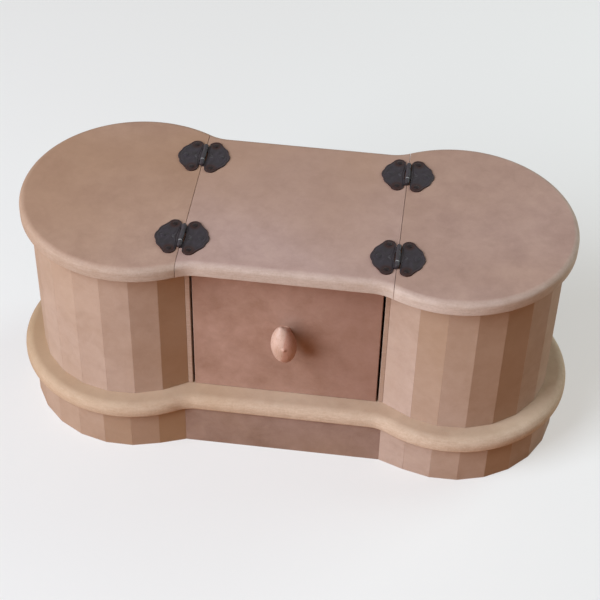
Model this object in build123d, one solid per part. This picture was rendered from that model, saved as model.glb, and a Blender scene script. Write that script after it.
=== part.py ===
from build123d import *
import math
import os

# Wooden box with a drawer and two hinged compartments.
# Frame: X runs along the box, -Y is the front with the drawer, Z is up.
# The origin is the centre of the plan, on the surface that the box stands on.
# All sizes are in millimetres.

# Driving heights, from the floor up
PLINTH_HEIGHT = 32.5
PLATE_THICKNESS = 10.0
WALL_HEIGHT = 110.5
TOP_THICKNESS = 10.0

# Towers: a round one of upright staves at each end
TOWER_CENTRE_X = 108.0
TOWER_RADIUS = 63.3
TOWER_STAVE_WIDTH = 18.3
TOWER_STAVE_THICKNESS = 6.0
RIGHT_JOINTS_SHIFT = 4.0

# Middle block: partitions, back panel and the drawer between them
PARTITION_OUTER_X = 64.5
PARTITION_THICKNESS = 3.0
BLOCK_HALF_DEPTH = 47.5
BACK_PANEL_THICKNESS = 3.0

# Base plate: its ledges past the walls, and its rims
PLATE_END_LEDGE = 13.2
PLATE_FRONT_LEDGE = 15.0
PLATE_FILLET = 24.0
PLATE_TOP_ROUNDING = 6.0
PLATE_BOTTOM_ROUNDING = 2.0

# Plinth: a lower ring of staves, set back under the plate, with a board across the waist
PLINTH_END_SETBACK = 5.5
PLINTH_STAVE_WIDTH = 18.4
PLINTH_STAVE_THICKNESS = 6.0
PLINTH_BOARD_HALF_LENGTH = 65.0
PLINTH_BOARD_SETBACK = 2.7

# Top: its overhang past the walls, with the round ends drawn in from the towers' centres
TOP_END_SET_IN = 6.5
TOP_END_OVERHANG = 12.2
TOP_FRONT_OVERHANG = 16.0
TOP_FILLET = 26.0
TOP_ROUNDING = 4.0
TOP_UNDERSIDE_CHAMFER = 0.8

# Seams between the fixed middle panel and the lids, just outside the partitions
SEAM_OFFSET = 2.0
SEAM_GAP = 0.8
LID_SEAT_GAP = 0.2

# Drawer
DRAWER_SIDE_GAP = 1.5
DRAWER_FLOOR_GAP = 0.2
DRAWER_TOP_GAP = 0.8
DRAWER_REAR_GAP = 0.6
DRAWER_FRONT_THICKNESS = 6.0
DRAWER_SIDE_THICKNESS = 4.0
DRAWER_BOTTOM_THICKNESS = 3.0
DRAWER_SIDE_DROP = 14.5

# Knob: an upright egg on a short round neck, a little above the middle of the drawer front, with
# a nub on its face and a tip above
KNOB_RISE = 2.5
KNOB_HALF_WIDTH = 7.7
KNOB_HALF_HEIGHT = 13.8
KNOB_STAND_OFF = 13.0
KNOB_NECK_RADIUS = 4.5
KNOB_NUB_RISE = 2.0
KNOB_NUB_RADIUS = 1.4
KNOB_NUB_HEIGHT = 0.6
KNOB_TIP_RADIUS = 1.5
KNOB_TIP_HEIGHT = 1.2
KNOB_SCREW_RADIUS = 1.5
KNOB_SCREW_DEPTH = 9.0
KNOB_SCREW_HEAD_RADIUS = 3.2
KNOB_SCREW_HEAD_THICKNESS = 1.8

# Butterfly hinges, set in from the front and rear edges of the top
HINGE_INSET = 23.2
LEAF_THICKNESS = 0.9
LEAF_LOBE_RADIUS = 4.2
LEAF_LOBE_X = 6.2
LEAF_LOBE_Y = 11.6
LEAF_WING_RADIUS = 11.0
LEAF_WING_X = 5.4
LEAF_DIP = 0.5
LEAF_TIP_NAIL_X = 11.8
KNUCKLE_RADIUS = 1.8
KNUCKLE_LENGTH = 20.0
CENTRE_KNUCKLE_LENGTH = 9.0
KNUCKLE_GAP = 0.2
PIN_RADIUS = 0.8
PIN_CLEARANCE = 0.05
PIN_HEAD_RADIUS = 1.3
PIN_HEAD_LENGTH = 0.6
LEAF_EDGE_CLEARANCE = 0.3

# Round-headed nails of the hinges
NAIL_SHANK_RADIUS = 0.7
NAIL_SHANK_LENGTH = 7.0
NAIL_HEAD_RADIUS = 1.9
NAIL_HEAD_HEIGHT = 0.9
NAIL_HOLE_CLEARANCE = 0.05

# Short straight runs that turned profiles are cut in, a quarter and a half of an ellipse
DOME_RUNS = 3
EGG_RUNS = 14

# Heights that follow
PLATE_TOP_Z = PLINTH_HEIGHT + PLATE_THICKNESS
WALL_TOP_Z = PLATE_TOP_Z + WALL_HEIGHT
TOP_Z = WALL_TOP_Z + TOP_THICKNESS
HINGE_AXIS_Z = TOP_Z + KNUCKLE_RADIUS
LEAF_TOP_Z = TOP_Z + LEAF_THICKNESS

# Plan sizes that follow
PLATE_END_RADIUS = TOWER_RADIUS + PLATE_END_LEDGE
PLATE_HALF_WAIST = BLOCK_HALF_DEPTH + PLATE_FRONT_LEDGE
PLINTH_RADIUS = PLATE_END_RADIUS - PLINTH_END_SETBACK
PLINTH_BOARD_FACE_Y = PLATE_HALF_WAIST - PLINTH_BOARD_SETBACK
TOP_END_CENTRE_X = TOWER_CENTRE_X - TOP_END_SET_IN
TOP_END_RADIUS = TOWER_RADIUS + TOP_END_OVERHANG
TOP_HALF_WAIST = BLOCK_HALF_DEPTH + TOP_FRONT_OVERHANG
PARTITION_INNER_X = PARTITION_OUTER_X - PARTITION_THICKNESS
SEAM_X = PARTITION_OUTER_X + SEAM_OFFSET
HINGE_Y = TOP_HALF_WAIST - HINGE_INSET

# Places of the drawer and the knob that follow
DRAWER_HALF_WIDTH = PARTITION_INNER_X - DRAWER_SIDE_GAP
DRAWER_BOTTOM_Z = PLATE_TOP_Z + DRAWER_FLOOR_GAP
DRAWER_FLOOR_Z = DRAWER_BOTTOM_Z + DRAWER_BOTTOM_THICKNESS
DRAWER_FRONT_TOP_Z = WALL_TOP_Z - DRAWER_TOP_GAP
DRAWER_SIDE_TOP_Z = DRAWER_FRONT_TOP_Z - DRAWER_SIDE_DROP
DRAWER_REAR_Y = BLOCK_HALF_DEPTH - BACK_PANEL_THICKNESS - DRAWER_REAR_GAP
DRAWER_BOX_FRONT_Y = -BLOCK_HALF_DEPTH + DRAWER_FRONT_THICKNESS
KNOB_CENTRE_Y = -BLOCK_HALF_DEPTH - KNOB_STAND_OFF
KNOB_CENTRE_Z = (DRAWER_BOTTOM_Z + DRAWER_FRONT_TOP_Z) / 2 + KNOB_RISE

# Nails of one leaf, from the hinge's centre
NAIL_SEATS = [(LEAF_LOBE_X, LEAF_LOBE_Y), (LEAF_LOBE_X, -LEAF_LOBE_Y), (LEAF_TIP_NAIL_X, 0.0)]

os.makedirs("parts", exist_ok=True)


def save(shape, node):
    export_step(shape, f"parts/{node}.step")


# Plain boards and turned pieces

def box_between(x, y, z):
    """A board given by its low and high limits along each axis."""
    size = [high - low for low, high in (x, y, z)]
    centre = [(high + low) / 2 for low, high in (x, y, z)]
    return Pos(*centre) * Box(*size)


def round_bar(radius, low_y, high_y):
    """A bar along Y, through the origin."""
    return Pos(0, (low_y + high_y) / 2, 0) * Rot(90, 0, 0) * Cylinder(radius, high_y - low_y)


def ellipse_run(half_width, half_height, first, last, runs):
    """Points along an ellipse about the origin, from one angle to another, in degrees."""
    angles = [math.radians(first + (last - first) * step / runs) for step in range(runs + 1)]
    return [(half_width * math.cos(angle), half_height * math.sin(angle)) for angle in angles]


def turned(profile):
    """A piece turned about Z, from the points of its half section, whose ends lie on the axis."""
    return revolve(Plane.XZ * make_face(Polyline(*profile, close=True)), Axis.Z)


def dome(radius, height):
    """A low round cap that stands on the plane Z = 0."""
    return turned([*ellipse_run(radius, height, 0, 90, DOME_RUNS), (0, 0)])


# Dog-bone plan shared by the base plate and the top

def dog_bone(centre_x, end_radius, half_waist, fillet_radius):
    """Two circles joined by a straight-sided waist, with a concave fillet at each meeting.

    A fillet's centre lies above the waist line by the fillet's radius, and its distance from the
    circle's centre is the sum of the two radii, which gives its place along the box.
    """
    lift = half_waist + fillet_radius
    reach = end_radius + fillet_radius
    fillet_x = centre_x - math.sqrt(reach ** 2 - lift ** 2)
    touch = end_radius / reach
    touch_x = centre_x - (centre_x - fillet_x) * touch
    touch_y = lift * touch
    dip = math.atan2(lift, centre_x - fillet_x) / 2 + math.pi / 4
    middle_x = fillet_x + fillet_radius * math.cos(dip)
    middle_y = lift - fillet_radius * math.sin(dip)
    edges = []
    for side in (1, -1):
        waist_end = (fillet_x * side, half_waist * side)
        touch_near = (touch_x * side, touch_y * side)
        touch_far = (touch_x * side, -touch_y * side)
        edges.append(Line((-fillet_x * side, half_waist * side), waist_end))
        edges.append(ThreePointArc(waist_end, (middle_x * side, middle_y * side), touch_near))
        edges.append(ThreePointArc(touch_near, ((centre_x + end_radius) * side, 0), touch_far))
        edges.append(
            ThreePointArc(
                touch_far,
                (middle_x * side, -middle_y * side),
                (fillet_x * side, -half_waist * side),
            )
        )
    return make_face(edges)


def make_base_plate():
    plan = dog_bone(TOWER_CENTRE_X, PLATE_END_RADIUS, PLATE_HALF_WAIST, PLATE_FILLET)
    plate = extrude(Pos(0, 0, PLINTH_HEIGHT) * plan, PLATE_THICKNESS, dir=(0, 0, 1))
    plate = fillet(plate.edges().group_by(Axis.Z)[-1], PLATE_TOP_ROUNDING)
    return fillet(plate.edges().group_by(Axis.Z)[0], PLATE_BOTTOM_ROUNDING)


# Staves: each is a straight board with mitred sides, standing in a ring

def offset_corner(before, corner, after, depth):
    """Where the inner faces of two neighbouring staves meet, at depth behind the corner."""
    first = Vector(*corner) - Vector(*before)
    second = Vector(*after) - Vector(*corner)
    first = first.normalized()
    second = second.normalized()
    mitre = Vector(-first.Y - second.Y, first.X + second.X).normalized()
    reach = depth / (mitre.X * -first.Y + mitre.Y * first.X)
    return (corner[0] + mitre.X * reach, corner[1] + mitre.Y * reach)


def end_corner(end, neighbour, depth):
    """The inner corner of an end stave, straight behind its outer corner along Y."""
    run_x = neighbour[0] - end[0]
    run_y = neighbour[1] - end[1]
    drop = depth * math.hypot(run_x, run_y) / abs(run_x)
    return (end[0], end[1] - math.copysign(drop, end[1]))


def joint_angles(radius, width, shift, end_x):
    """Angles of the joints between staves, seen from the tower's centre.

    As many staves of the width stand in the ring as fill its circle up to end_x. The shift moves
    every joint the same way along the circle.
    """
    pitch = 2 * math.asin(width / (2 * radius))
    open_half = math.acos((end_x - TOWER_CENTRE_X) / radius)
    joints = round(2 * open_half / pitch) - 1
    first = -pitch * (joints - 1) / 2 + shift / radius
    return [first + index * pitch for index in range(joints)]


def stave_ring(radius, width, shift, end_x, end_y, depth, bottom_z, height):
    """The staves of the right-hand ring, from its front end round to its rear end.

    The first and last stave run on to the flat ends at end_x, where they meet the middle block.
    """
    outer = [(end_x, -end_y)]
    for angle in joint_angles(radius, width, shift, end_x):
        outer.append((TOWER_CENTRE_X + radius * math.cos(angle), radius * math.sin(angle)))
    outer.append((end_x, end_y))
    inner = [end_corner(outer[0], outer[1], depth)]
    for before, corner, after in zip(outer, outer[1:], outer[2:]):
        inner.append(offset_corner(before, corner, after, depth))
    inner.append(end_corner(outer[-1], outer[-2], depth))
    staves = []
    for index in range(len(outer) - 1):
        corners = [outer[index], outer[index + 1], inner[index + 1], inner[index]]
        section = make_face(Polyline(*corners, close=True))
        staves.append(extrude(Pos(0, 0, bottom_z) * section, height, dir=(0, 0, 1)))
    return staves


def mirrored(shapes):
    return [mirror(shape, about=Plane.YZ) for shape in shapes]


def make_tower(shift):
    return stave_ring(
        TOWER_RADIUS,
        TOWER_STAVE_WIDTH,
        shift,
        PARTITION_OUTER_X,
        BLOCK_HALF_DEPTH,
        TOWER_STAVE_THICKNESS,
        PLATE_TOP_Z,
        WALL_HEIGHT,
    )


def make_plinth_ring():
    return stave_ring(
        PLINTH_RADIUS,
        PLINTH_STAVE_WIDTH,
        0.0,
        PLINTH_BOARD_HALF_LENGTH,
        PLINTH_BOARD_FACE_Y,
        PLINTH_STAVE_THICKNESS,
        0.0,
        PLINTH_HEIGHT,
    )


# Boards of the middle block and the plinth

def make_partition(side):
    x = sorted((side * PARTITION_INNER_X, side * PARTITION_OUTER_X))
    y = (-BLOCK_HALF_DEPTH, BLOCK_HALF_DEPTH)
    return box_between(x, y, (PLATE_TOP_Z, WALL_TOP_Z))


def make_back_panel():
    x = (-PARTITION_INNER_X, PARTITION_INNER_X)
    y = (BLOCK_HALF_DEPTH - BACK_PANEL_THICKNESS, BLOCK_HALF_DEPTH)
    return box_between(x, y, (PLATE_TOP_Z, WALL_TOP_Z))


def make_plinth_board(side):
    x = (-PLINTH_BOARD_HALF_LENGTH, PLINTH_BOARD_HALF_LENGTH)
    faces = (side * PLINTH_BOARD_FACE_Y, side * (PLINTH_BOARD_FACE_Y - PLINTH_STAVE_THICKNESS))
    return box_between(x, sorted(faces), (0.0, PLINTH_HEIGHT))


# Butterfly hinges, each made about its pin axis, which runs along Y through the origin

def hinge_places(side):
    """The two hinge centres on one seam, front first."""
    return [(side * SEAM_X, -HINGE_Y), (side * SEAM_X, HINGE_Y)]


def leaf_outline(direction):
    """A butterfly wing: one wide round and two small lobes, with the outline dipping between them.

    The wide round is larger than the leaf, which is cut straight beside the knuckles.
    """
    rounds = [
        (direction * LEAF_LOBE_X, LEAF_LOBE_Y, LEAF_LOBE_RADIUS),
        (direction * LEAF_LOBE_X, -LEAF_LOBE_Y, LEAF_LOBE_RADIUS),
        (direction * LEAF_WING_X, 0.0, LEAF_WING_RADIUS),
    ]
    web_edges = []
    for x, y, radius in rounds:
        web_edges += (Pos(x, y) * Circle(radius - LEAF_DIP)).edges()
    outline = make_hull(web_edges)
    for x, y, radius in rounds:
        outline = outline + Pos(x, y) * Circle(radius)
    side = 2 * (LEAF_WING_X + LEAF_WING_RADIUS)
    kept = Pos(direction * (KNUCKLE_RADIUS + side / 2), 0) * Rectangle(side, side)
    return (outline & kept).faces()[0]


def knuckle_bands(moving):
    """Where along the axis this leaf's knuckles stand: one in the middle or one at each end."""
    half_centre = CENTRE_KNUCKLE_LENGTH / 2
    half_length = KNUCKLE_LENGTH / 2
    if moving:
        return [(-half_centre, half_centre)]
    return [(-half_length, -half_centre - KNUCKLE_GAP), (half_centre + KNUCKLE_GAP, half_length)]


def make_leaf(direction, moving):
    """One leaf with its knuckles. Its underside lies on the wood, one knuckle radius below the axis."""
    leaf = extrude(Pos(0, 0, -KNUCKLE_RADIUS) * leaf_outline(direction), LEAF_THICKNESS, dir=(0, 0, 1))
    leaf = leaf - round_bar(KNUCKLE_RADIUS + LEAF_EDGE_CLEARANCE, -KNUCKLE_LENGTH, KNUCKLE_LENGTH)
    for low, high in knuckle_bands(moving):
        strap = box_between(
            sorted((0.0, direction * LEAF_LOBE_X / 2)),
            (low, high),
            (-KNUCKLE_RADIUS, -KNUCKLE_RADIUS + LEAF_THICKNESS),
        )
        leaf = leaf + strap + round_bar(KNUCKLE_RADIUS, low, high)
    leaf = leaf - round_bar(PIN_RADIUS + PIN_CLEARANCE, -KNUCKLE_LENGTH, KNUCKLE_LENGTH)
    nail_hole = Cylinder(NAIL_SHANK_RADIUS + NAIL_HOLE_CLEARANCE, 2 * KNUCKLE_RADIUS)
    for x, y in NAIL_SEATS:
        leaf = leaf - Pos(direction * x, y, 0) * nail_hole
    return leaf.solids()[0]


def make_pin():
    """A pin with a low rounded head at each end, outside the knuckles."""
    half = KNUCKLE_LENGTH / 2
    head = dome(PIN_HEAD_RADIUS, PIN_HEAD_LENGTH)
    front_head = Pos(0, -half, 0) * Rot(90, 0, 0) * head
    rear_head = Pos(0, half, 0) * Rot(-90, 0, 0) * head
    return round_bar(PIN_RADIUS, -half, half) + front_head + rear_head


# Nails, made with the underside of the head at the origin

def downward_bar(radius, length):
    """A bar from the origin down."""
    return Cylinder(radius, length, align=(Align.CENTER, Align.CENTER, Align.MAX))


def nail_places(side, direction):
    """Every nail of the leaves that lie on one side of one seam."""
    return [(x + direction * dx, y + dy) for x, y in hinge_places(side) for dx, dy in NAIL_SEATS]


def with_pilot_holes(panel, places):
    drill = downward_bar(NAIL_SHANK_RADIUS + NAIL_HOLE_CLEARANCE, NAIL_SHANK_LENGTH)
    for x, y in places:
        panel = panel - Pos(x, y, TOP_Z) * drill
    return panel


def nails_at(places):
    nail = dome(NAIL_HEAD_RADIUS, NAIL_HEAD_HEIGHT) + downward_bar(NAIL_SHANK_RADIUS, NAIL_SHANK_LENGTH)
    return Compound(children=[Pos(x, y, LEAF_TOP_Z) * nail for x, y in places])


# The top: a fixed middle panel and two lids cut from one dog-bone slab

def make_top_slab(bottom_z):
    plan = dog_bone(TOP_END_CENTRE_X, TOP_END_RADIUS, TOP_HALF_WAIST, TOP_FILLET)
    slab = extrude(Pos(0, 0, bottom_z) * plan, TOP_Z - bottom_z, dir=(0, 0, 1))
    slab = fillet(slab.edges().group_by(Axis.Z)[-1], TOP_ROUNDING)
    return chamfer(slab.edges().group_by(Axis.Z)[0], TOP_UNDERSIDE_CHAMFER)


def make_centre_top():
    half_length = SEAM_X - SEAM_GAP / 2
    cutter = box_between((-half_length, half_length), (-TOP_END_RADIUS, TOP_END_RADIUS), (0.0, TOP_Z))
    panel = make_top_slab(WALL_TOP_Z) & cutter
    return with_pilot_holes(panel, nail_places(-1, 1) + nail_places(1, -1)).solids()[0]


def make_lid(side):
    near = side * (SEAM_X + SEAM_GAP / 2)
    far = side * (TOP_END_CENTRE_X + TOP_END_RADIUS)
    cutter = box_between(sorted((near, far)), (-TOP_END_RADIUS, TOP_END_RADIUS), (0.0, TOP_Z))
    panel = make_top_slab(WALL_TOP_Z + LID_SEAT_GAP) & cutter
    return with_pilot_holes(panel, nail_places(side, side)).solids()[0]


# Drawer

def make_drawer_front():
    x = (-DRAWER_HALF_WIDTH, DRAWER_HALF_WIDTH)
    y = (-BLOCK_HALF_DEPTH, DRAWER_BOX_FRONT_Y)
    board = box_between(x, y, (DRAWER_BOTTOM_Z, DRAWER_FRONT_TOP_Z))
    return board - Pos(0, 0, KNOB_CENTRE_Z) * round_bar(KNOB_SCREW_RADIUS, *y)


def make_drawer_side(side):
    x = sorted((side * DRAWER_HALF_WIDTH, side * (DRAWER_HALF_WIDTH - DRAWER_SIDE_THICKNESS)))
    y = (DRAWER_BOX_FRONT_Y, DRAWER_REAR_Y)
    return box_between(x, y, (DRAWER_FLOOR_Z, DRAWER_SIDE_TOP_Z))


def make_drawer_back():
    half_width = DRAWER_HALF_WIDTH - DRAWER_SIDE_THICKNESS
    y = (DRAWER_REAR_Y - DRAWER_SIDE_THICKNESS, DRAWER_REAR_Y)
    return box_between((-half_width, half_width), y, (DRAWER_FLOOR_Z, DRAWER_SIDE_TOP_Z))


def make_drawer_bottom():
    x = (-DRAWER_HALF_WIDTH, DRAWER_HALF_WIDTH)
    y = (DRAWER_BOX_FRONT_Y, DRAWER_REAR_Y)
    return box_between(x, y, (DRAWER_BOTTOM_Z, DRAWER_FLOOR_Z))


def make_knob():
    """An upright egg on a neck that meets the drawer front, bored for its screw."""
    egg = turned(ellipse_run(KNOB_HALF_WIDTH, KNOB_HALF_HEIGHT, -90, 90, EGG_RUNS))
    neck = round_bar(KNOB_NECK_RADIUS, 0.0, KNOB_STAND_OFF)
    nub = round_bar(KNOB_NUB_RADIUS, -KNOB_HALF_WIDTH - KNOB_NUB_HEIGHT, 0.0)
    nub = Pos(0, 0, KNOB_NUB_RISE) * nub
    tip_height = KNOB_HALF_HEIGHT + KNOB_TIP_HEIGHT
    tip = Cylinder(KNOB_TIP_RADIUS, tip_height, align=(Align.CENTER, Align.CENTER, Align.MIN))
    bore = round_bar(KNOB_SCREW_RADIUS, KNOB_STAND_OFF - KNOB_SCREW_DEPTH, KNOB_STAND_OFF)
    return Pos(0, KNOB_CENTRE_Y, KNOB_CENTRE_Z) * (egg + neck + nub + tip - bore)


def make_knob_screw():
    """A round-headed screw from inside the drawer into the knob."""
    shank = round_bar(KNOB_SCREW_RADIUS, -BLOCK_HALF_DEPTH - KNOB_SCREW_DEPTH, DRAWER_BOX_FRONT_Y)
    head = dome(KNOB_SCREW_HEAD_RADIUS, KNOB_SCREW_HEAD_THICKNESS)
    head = Pos(0, DRAWER_BOX_FRONT_Y, 0) * Rot(-90, 0, 0) * head
    return Pos(0, 0, KNOB_CENTRE_Z) * (shank + head)


# Write every piece

save(make_base_plate(), "base_plate")
save(Compound(children=mirrored(make_tower(0.0))), "tower_staves_left")
save(Compound(children=make_tower(RIGHT_JOINTS_SHIFT)), "tower_staves_right")
save(Compound(children=mirrored(make_plinth_ring())), "plinth_staves_left")
save(Compound(children=make_plinth_ring()), "plinth_staves_right")
save(make_plinth_board(-1), "plinth_front_board")
save(make_plinth_board(1), "plinth_back_board")
save(make_back_panel(), "back_panel")
save(make_centre_top(), "centre_top")
save(nails_at(nail_places(-1, 1) + nail_places(1, -1)), "nails_centre_top")

for side, side_name in ((-1, "left"), (1, "right")):
    save(make_partition(side), f"partition_{side_name}")
    save(make_lid(side), f"lid_{side_name}")
    save(nails_at(nail_places(side, side)), f"nails_lid_{side_name}")
    save(make_drawer_side(side), f"drawer_side_{side_name}")
    for (x, y), end_name in zip(hinge_places(side), ("front", "rear")):
        place = Pos(x, y, HINGE_AXIS_Z)
        save(place * make_leaf(-side, False), f"hinge_fixed_leaf_{side_name}_{end_name}")
        save(place * make_leaf(side, True), f"hinge_moving_leaf_{side_name}_{end_name}")
        save(place * make_pin(), f"hinge_pin_{side_name}_{end_name}")

save(make_drawer_front(), "drawer_front")
save(make_drawer_back(), "drawer_back")
save(make_drawer_bottom(), "drawer_bottom")
save(make_knob(), "knob")
save(make_knob_screw(), "knob_screw")
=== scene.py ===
# %% [markdown]
# # A raw fibreboard box with a drawer and two hinged lids
#
# This lesson dresses a small craft box for its portrait. The box is made of medium-density
# fibreboard, left raw: a dog-bone plate on a low plinth, a round tower of upright staves at each
# end, a drawer between them, and a top in three panels joined by four butterfly hinges.
# The CAD model gives every piece its place and size. Blender adds what the eye meets: rounded rims,
# eased arrises, fibres, sanding marks, worn lacquer and the turned knob.
# All lengths are in metres here, so sizes in millimetres are written with the factor MM.

# %% Load the frame
import math

import bmesh
import bpy
import numpy as np
from mathutils import Matrix, Vector


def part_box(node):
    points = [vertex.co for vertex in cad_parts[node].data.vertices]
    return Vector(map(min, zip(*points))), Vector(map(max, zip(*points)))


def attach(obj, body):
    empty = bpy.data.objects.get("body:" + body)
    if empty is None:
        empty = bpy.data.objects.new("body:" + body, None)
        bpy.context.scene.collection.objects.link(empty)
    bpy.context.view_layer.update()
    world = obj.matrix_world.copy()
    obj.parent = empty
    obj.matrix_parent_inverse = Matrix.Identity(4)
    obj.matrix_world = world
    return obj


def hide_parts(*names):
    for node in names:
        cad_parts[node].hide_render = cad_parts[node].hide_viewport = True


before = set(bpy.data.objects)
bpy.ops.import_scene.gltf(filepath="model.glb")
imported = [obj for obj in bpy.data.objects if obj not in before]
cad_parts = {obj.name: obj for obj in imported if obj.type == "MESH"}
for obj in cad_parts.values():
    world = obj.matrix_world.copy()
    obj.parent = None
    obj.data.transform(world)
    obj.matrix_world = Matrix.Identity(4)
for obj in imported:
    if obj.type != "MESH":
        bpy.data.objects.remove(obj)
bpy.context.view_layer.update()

MM = 0.001

# %% [markdown]
# ## The camera
#
# The picture was taken from above and a little to the right of the middle, with the box turned very
# slightly clockwise in the frame. A camera is placed most simply on a ball about a target: two
# angles say where it stands, a third how far it is rolled, and the lens how much it takes in.
# The numbers come from fitting the outlines of the top, the plate and the plinth to the picture.

# %% Place the camera
CAMERA_TARGET = Vector((0.63, 23.57, 60.0)) * MM
CAMERA_DISTANCE = 1086.6 * MM
CAMERA_AZIMUTH = math.radians(6.09)
CAMERA_ELEVATION = math.radians(43.25)
CAMERA_ROLL = math.radians(1.55)
CAMERA_LENS_MM = 95.31


def place_camera():
    """The camera looks at the target from a direction given by azimuth and elevation.

    The line back to the camera is (sin a cos e, -cos a cos e, sin e). The picture's right side is
    level, and both it and the picture's top then turn about the line of sight by the roll.
    """
    azimuth, elevation = CAMERA_AZIMUTH, CAMERA_ELEVATION
    back = Vector((
        math.sin(azimuth) * math.cos(elevation),
        -math.cos(azimuth) * math.cos(elevation),
        math.sin(elevation),
    ))
    right = Vector((math.cos(azimuth), math.sin(azimuth), 0.0))
    up = back.cross(right)
    rolled_right = right * math.cos(CAMERA_ROLL) + up * math.sin(CAMERA_ROLL)
    rolled_up = up * math.cos(CAMERA_ROLL) - right * math.sin(CAMERA_ROLL)
    data = bpy.data.cameras.new("portrait_camera")
    data.lens = CAMERA_LENS_MM
    data.clip_start = 0.05
    camera = bpy.data.objects.new("portrait_camera", data)
    bpy.context.scene.collection.objects.link(camera)
    turn = Matrix((rolled_right, rolled_up, back)).transposed().to_4x4()
    camera.matrix_world = Matrix.Translation(CAMERA_TARGET + back * CAMERA_DISTANCE) @ turn
    bpy.context.scene.camera = camera
    return camera


camera = place_camera()
print("Camera in mm:", [round(value / MM, 1) for value in camera.location])

# %% [markdown]
# ## Tools for meshes
#
# Each new piece is a surface worked out with numpy. A grid of points is one array, and its faces
# follow from counting along rows and columns. Several grids and flat caps are joined into one
# closed mesh, whose doubled points are merged and whose faces then all look outwards.
# A piece can carry marks: numbers on its points, such as how far a point lies on the rim, which
# the materials read later: 0 is none of it and 1 is all of it.

# %% Grids and their faces
def grid_faces(rows, columns, closed_rows=False, closed_columns=False):
    """Four-cornered faces between neighbouring points of a grid, numbered along its rows."""
    row = np.arange(rows if closed_rows else rows - 1)[:, None]
    column = np.arange(columns if closed_columns else columns - 1)[None, :]
    next_row = (row + 1) % rows
    next_column = (column + 1) % columns
    corners = [
        row * columns + column,
        next_row * columns + column,
        next_row * columns + next_column,
        row * columns + next_column,
    ]
    return np.stack(corners, axis=-1).reshape(-1, 4).tolist()


def surface(grid, caps=(), closed_rows=False, closed_columns=False, **marks):
    """A part of a mesh: a grid of points, its faces, flat caps given as lists of point numbers."""
    rows, columns = grid.shape[:2]
    faces = grid_faces(rows, columns, closed_rows, closed_columns) + [list(cap) for cap in caps]
    spread = {name: np.broadcast_to(values, (rows, columns)).ravel() for name, values in marks.items()}
    return grid.reshape(-1, 3), faces, spread


print("Faces of 3 by 4 points:", len(grid_faces(3, 4)), "or, closed both ways:", len(grid_faces(3, 4, True, True)))

# %% From parts to a piece
MERGE_DISTANCE = 1e-7


def joined_mesh(name, parts, merge):
    """One mesh from several parts, with their marks as attributes and its faces looking outwards."""
    points = np.concatenate([part[0] for part in parts])
    faces = []
    start = 0
    for part_points, part_faces, _ in parts:
        faces += [[start + number for number in face] for face in part_faces]
        start += len(part_points)
    mesh = bpy.data.meshes.new(name)
    mesh.from_pydata(points.tolist(), [], faces)
    for mark in sorted({mark for part in parts for mark in part[2]}):
        values = [part[2].get(mark, np.zeros(len(part[0]))) for part in parts]
        attribute = mesh.attributes.new(mark, "FLOAT", "POINT")
        attribute.data.foreach_set("value", np.concatenate(values).astype(np.float32))
    shell = bmesh.new()
    shell.from_mesh(mesh)
    if merge:
        bmesh.ops.remove_doubles(shell, verts=shell.verts, dist=MERGE_DISTANCE)
    bmesh.ops.recalc_face_normals(shell, faces=shell.faces)
    shell.to_mesh(mesh)
    shell.free()
    return mesh


def make_piece(name, parts, body, stands_for, material, merge=True, smooth_degrees=32.0):
    """Joins parts into one mesh object that rides on a CAD body and stands for CAD nodes."""
    mesh = joined_mesh(name, parts, merge)
    mesh.shade_smooth()
    mesh.set_sharp_from_angle(angle=math.radians(smooth_degrees))
    mesh.materials.append(material)
    piece = bpy.data.objects.new(name, mesh)
    bpy.context.scene.collection.objects.link(piece)
    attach(piece, body)
    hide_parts(*stands_for)
    print(f"{name}: {len(mesh.vertices)} points, {len(mesh.polygons)} faces")
    return piece


# %% Eased arrises and turned surfaces
def ease_arrises(piece, width, segments=2, degrees=40.0):
    """Rounds the sharp edges of a piece by a small width, as sandpaper does."""
    bevel = piece.modifiers.new("eased_arrises", "BEVEL")
    bevel.width = width
    bevel.segments = segments
    bevel.limit_method = "ANGLE"
    bevel.angle_limit = math.radians(degrees)
    return piece


def lathe(radii, heights, steps=48):
    """A turned surface about Z: the point at angle t is (radius cos t, radius sin t, height)."""
    turn = np.linspace(0.0, 2.0 * math.pi, steps, endpoint=False)[:, None]
    radii, heights = np.asarray(radii)[None, :], np.asarray(heights)[None, :]
    return np.stack(
        [radii * np.cos(turn), radii * np.sin(turn), np.broadcast_to(heights, (steps, heights.size))],
        axis=-1,
    )


print("Points on a turned surface of 3 rings:", lathe([1.0, 2.0, 1.0], [0.0, 1.0, 2.0]).shape[:2])

# %% [markdown]
# ## Tools for materials
#
# Colours are written as sRGB hex values, as a paint chart has them, and one function turns them to
# the linear values that light is reckoned in. Another small function adds a node with its settings
# and links, so that each material reads as a short list of what happens to the colour.

# %% Material helpers
# A Mix node set to colours takes its factor at input 0, its two colours at 6 and 7, and gives output 2
FACTOR, FIRST, SECOND, MIXED = 0, 6, 7, 2


def linear(hex_colour):
    """The linear colour of an sRGB hex value such as #A8876E, with full opacity."""
    values = np.array([int(hex_colour[start:start + 2], 16) / 255.0 for start in (1, 3, 5)])
    low, high = values / 12.92, ((values + 0.055) / 1.055) ** 2.4
    return (*np.where(values <= 0.04045, low, high).tolist(), 1.0)


def add_node(tree, kind, inputs=None, output=0, **settings):
    """Adds one node with its settings and links, and gives back one of its outputs.

    An input is a number, a vector, a hex colour, or the output of another node.
    """
    node = tree.nodes.new("ShaderNode" + kind)
    for key, value in settings.items():
        setattr(node, key, value)
    for key, value in (inputs or {}).items():
        if isinstance(value, bpy.types.NodeSocket):
            tree.links.new(value, node.inputs[key])
        else:
            node.inputs[key].default_value = linear(value) if isinstance(value, str) else value
    return node.outputs[output] if node.outputs else None


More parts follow.
